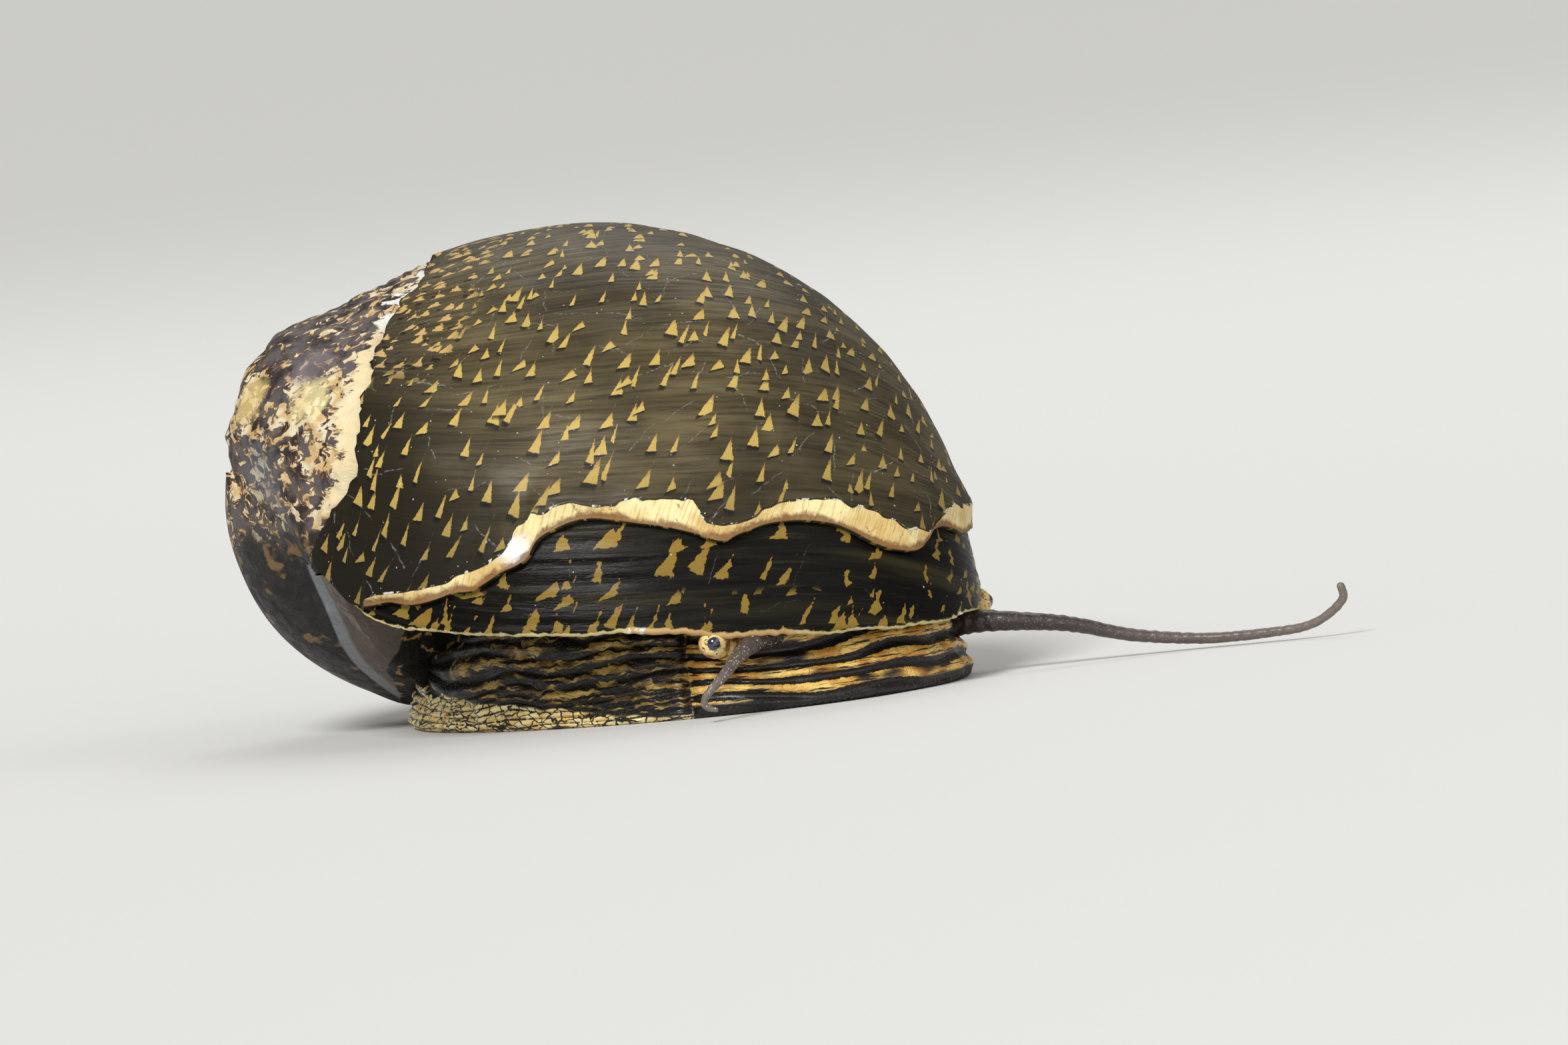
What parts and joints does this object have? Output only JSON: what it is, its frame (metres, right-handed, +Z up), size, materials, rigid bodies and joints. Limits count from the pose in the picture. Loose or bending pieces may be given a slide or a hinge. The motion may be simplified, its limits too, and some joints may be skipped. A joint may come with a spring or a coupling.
{
  "type": "nerite snail model",
  "caption": "Life-size model of a crawling nerite snail: domed coiled shell with a worn spire and a band of newer growth over a flat foot, with thin feelers.",
  "frame": {"origin": "middle of the flat sole, at floor level", "axes": "+X the way the snail heads, +Y its left, +Z up"},
  "size_m": [0.035, 0.0258, 0.0168],
  "materials": {
    "shell_dark": "semi-gloss dark olive-brown with ochre marks",
    "shell_worn": "worn, mottled cream and grey-brown",
    "shell_new": "glossy black with ochre marks",
    "foot_skin": "moist, ochre cells over black",
    "head_skin": "moist, black with ochre stripes",
    "feeler_skin": "moist, purple-grey",
    "stalk_skin": "moist amber",
    "eye_black": "wet gloss"
  },
  "bodies": {
    "root": {"shell_body_whorl": "shell_dark", "shell_spire": "shell_worn", "shell_new_growth": "shell_new", "foot": "foot_skin", "head": "head_skin", "feeler_right_base": "feeler_skin", "feeler_right_tip": "feeler_skin", "feeler_left_base": "feeler_skin", "feeler_left_middle": "feeler_skin", "feeler_left_tip": "feeler_skin", "eye_stalk_left": "stalk_skin", "eye_stalk_right": "stalk_skin", "eye_left": "eye_black", "eye_right": "eye_black"}
  },
  "joints": []
}
